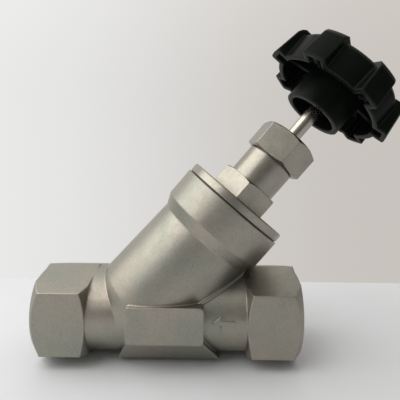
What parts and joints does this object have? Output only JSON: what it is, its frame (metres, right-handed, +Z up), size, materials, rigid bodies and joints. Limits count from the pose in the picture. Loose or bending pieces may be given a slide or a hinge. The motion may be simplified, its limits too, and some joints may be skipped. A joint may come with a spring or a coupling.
{
  "type": "manual angle seat valve",
  "caption": "Y-pattern manual angle seat valve with hexagonal female threaded ends, a slanted bonnet with gland nut, a rising stem and a black lobed handwheel.",
  "frame": {"origin": "on the pipe axis at the centre of the outlet port, where its full thread starts", "axes": "+X along the pipe from the outlet to the inlet, +Z up on the bonnet's side, the stem lies in the XZ plane and leans towards +X"},
  "size_m": [0.1363, 0.0542, 0.1264],
  "materials": {
    "cast_steel": "bead blasted cast stainless steel",
    "turned_steel": "machined stainless steel",
    "polished_steel": "polished stainless steel",
    "spring_steel": "spring steel",
    "brass": "machined brass",
    "black_plastic": "black moulded nylon, fine grain",
    "ptfe": "white filled PTFE",
    "graphite": "dark grey pressed graphite",
    "rubber": "black rubber"
  },
  "bodies": {
    "valve": {"valve_body": "cast_steel", "seat_ring": "turned_steel", "bonnet_gasket": "graphite", "bonnet": "turned_steel", "stem_bush": "brass", "bush_circlip": "spring_steel", "packing_washer": "turned_steel", "packing_ring_lower": "ptfe", "packing_ring_middle": "ptfe", "packing_ring_upper": "ptfe", "gland_follower": "turned_steel", "gland_nut": "turned_steel", "stem_wiper": "rubber"},
    "plug_carrier": {"plug": "turned_steel", "plug_retainer": "turned_steel", "guide_ring": "ptfe", "plug_seal": "ptfe", "seal_washer": "turned_steel", "plug_nut": "turned_steel"},
    "stem_and_wheel": {"stem": "polished_steel", "handwheel": "black_plastic", "hub_insert": "brass", "wheel_washer": "polished_steel", "wheel_nut": "polished_steel", "wheel_cap": "black_plastic"}
  },
  "joints": [
    {"name": "plug_lift", "type": "slide", "parent": "valve", "child": "plug_carrier", "axis": [0.6428, 0, 0.766], "range_m": [-0.012, 0]},
    {"name": "stem_turn", "type": "hinge", "parent": "plug_carrier", "child": "stem_and_wheel", "pos_m": [0.09961, 0, 0.07354], "axis": [0.6428, 0, 0.766], "range_deg": [-1080, 0]}
  ],
  "couplings": [
    {"joint": "stem_turn", "follows": "plug_lift", "rad_per_m": 1570.8}
  ]
}
